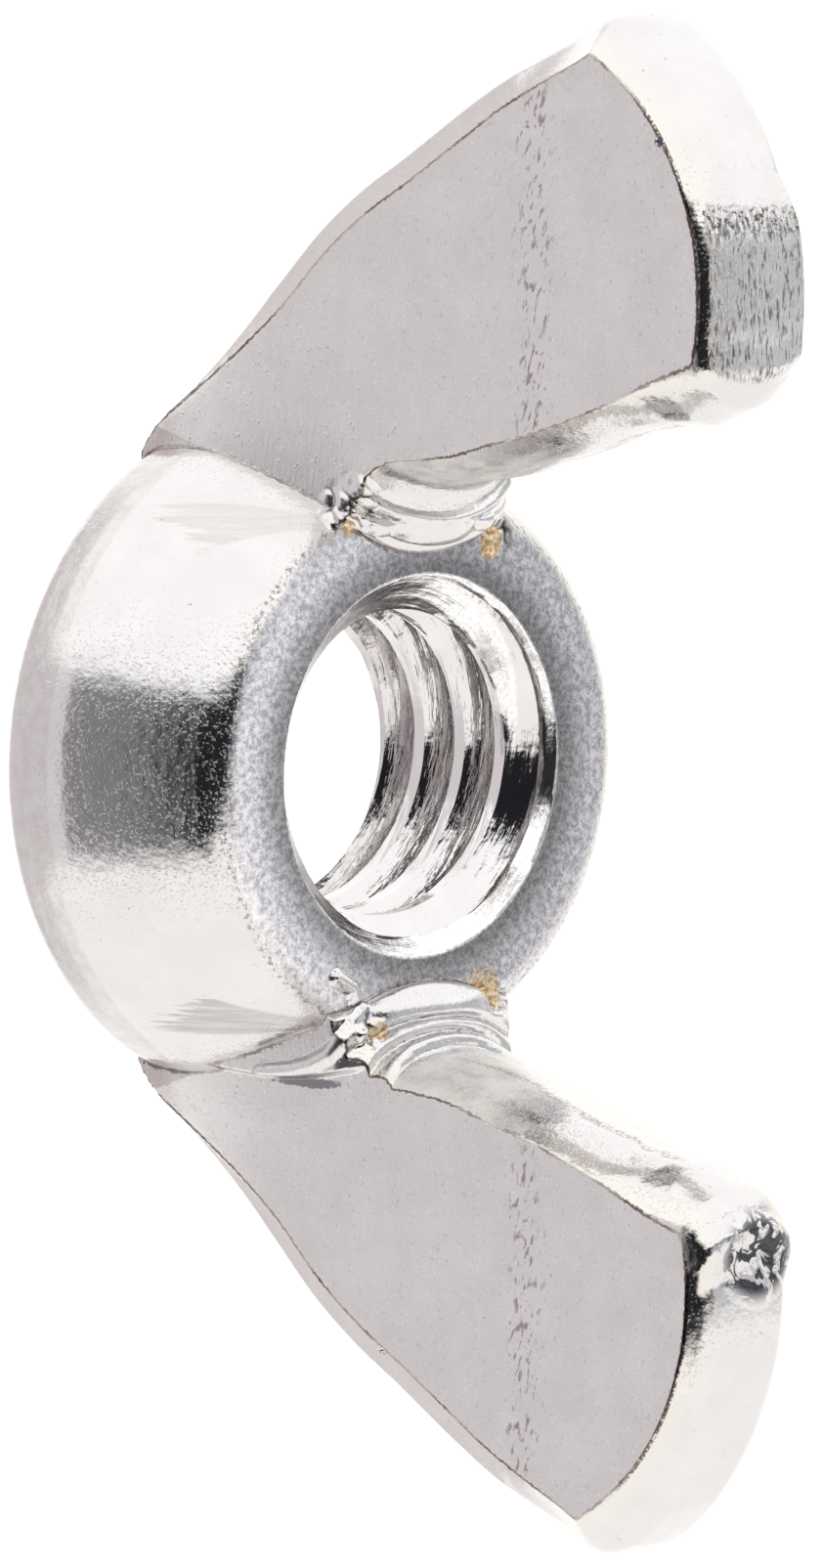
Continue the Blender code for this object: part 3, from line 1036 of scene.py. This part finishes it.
CAMERA_AZIMUTH = -8.11
CAMERA_ELEVATION = 45.05
CAMERA_ROLL = 96.22
CAMERA_DISTANCE = 172.0
CAMERA_AIM = (0.77, 2.43, 2.51)
LENS_MM, SENSOR_MM = 179.55, 36.0


def make_floor():
    half = FLOOR_SIDE / 2 * MM
    z = -FLOOR_DROP * MM
    corners = [(-half, -half, z), (half, -half, z), (half, half, z), (-half, half, z)]
    floor = new_object("floor", corners, [[0, 1, 2, 3]])
    material = bpy.data.materials.new("pale_floor")
    material.use_nodes = True
    shader = material.node_tree.nodes["Principled BSDF"]
    shader.inputs["Base Color"].default_value = (0.3, 0.3, 0.3, 1)
    shader.inputs["Roughness"].default_value = 1.0
    shader.inputs["Emission Color"].default_value = (1, 1, 1, 1)
    shader.inputs["Emission Strength"].default_value = 1.0
    floor.data.materials.append(material)
    floor.visible_glossy = False


def make_studio():
    """Soft white side lights, a dark strip from the front horizon over the top, and a pale floor."""
    world = bpy.data.worlds.new("studio")
    bpy.context.scene.world = world
    world.use_nodes = True
    n = Nodes(world.node_tree)
    ray = n.add("TexCoord", 0)
    split = n.add("SeparateXYZ", Vector=ray).node
    x, y, z = split.outputs
    around = n.math("ARCTAN2", z, n.math("MULTIPLY", y, -1.0))
    around = n.math("MULTIPLY", around, 180 / pi)
    around = n.math("ADD", around, n.math("MULTIPLY", n.math("LESS_THAN", around, -100.0), 360.0))
    centre = n.ramp(around, 15, 90, 0.05, -0.055)
    half = n.ramp(around, 15, 90, 0.45, 0.245)
    sideways = n.math("SUBTRACT", n.math("ABSOLUTE", n.math("SUBTRACT", x, centre)), half)
    side = n.ramp(sideways, -0.07, 0.07)
    strip = n.mix(n.ramp(around, -22, -12), FLOOR_GLOW, HORIZON_GREY)
    strip = n.mix(n.ramp(around, -6, 8), strip, STRIP_DARK)
    strip = n.mix(n.ramp(around, 94, 110), strip, SKY_BACK)
    strip = n.mix(n.ramp(around, 160, 190), strip, BACK_GLOW)
    below = n.ramp(z, -0.8, -0.62, 1, 0)
    lights = n.mix(side, strip, n.mix(n.ramp(x, -0.2, 0.2), LEFT_LIGHT, RIGHT_LIGHT))
    lights = n.mix(n.math("MULTIPLY", below, n.ramp(y, -0.1, 0.2, 1, 0)), lights, FLOOR_GLOW)
    background = world.node_tree.nodes["Background"]
    n.put(background.inputs["Color"], lights)


def make_camera():
    azimuth, elevation, roll = (radians(a) for a in (CAMERA_AZIMUTH, CAMERA_ELEVATION, CAMERA_ROLL))
    toward = Vector((sin(azimuth) * cos(elevation), -cos(azimuth) * cos(elevation), sin(elevation)))
    level = Vector((0, 0, 1)).cross(toward).normalized()
    over = toward.cross(level)
    right = cos(roll) * level + sin(roll) * over
    up = toward.cross(right)
    data = bpy.data.cameras.new("camera")
    data.sensor_width = SENSOR_MM
    data.lens = LENS_MM
    data.clip_start = 0.01
    camera = bpy.data.objects.new("camera", data)
    bpy.context.scene.collection.objects.link(camera)
    place = (Vector(CAMERA_AIM) + toward * CAMERA_DISTANCE) * MM
    camera.matrix_world = Matrix.Translation(place) @ Matrix((right, up, toward)).transposed().to_4x4()
    bpy.context.scene.camera = camera


nut = make_nut()
nut.data.materials.clear()
nut.data.materials.append(plated_material())
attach(nut, "root")
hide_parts("wing_nut")
make_floor()
make_studio()
make_camera()
bpy.context.scene.view_settings.view_transform = "Standard"
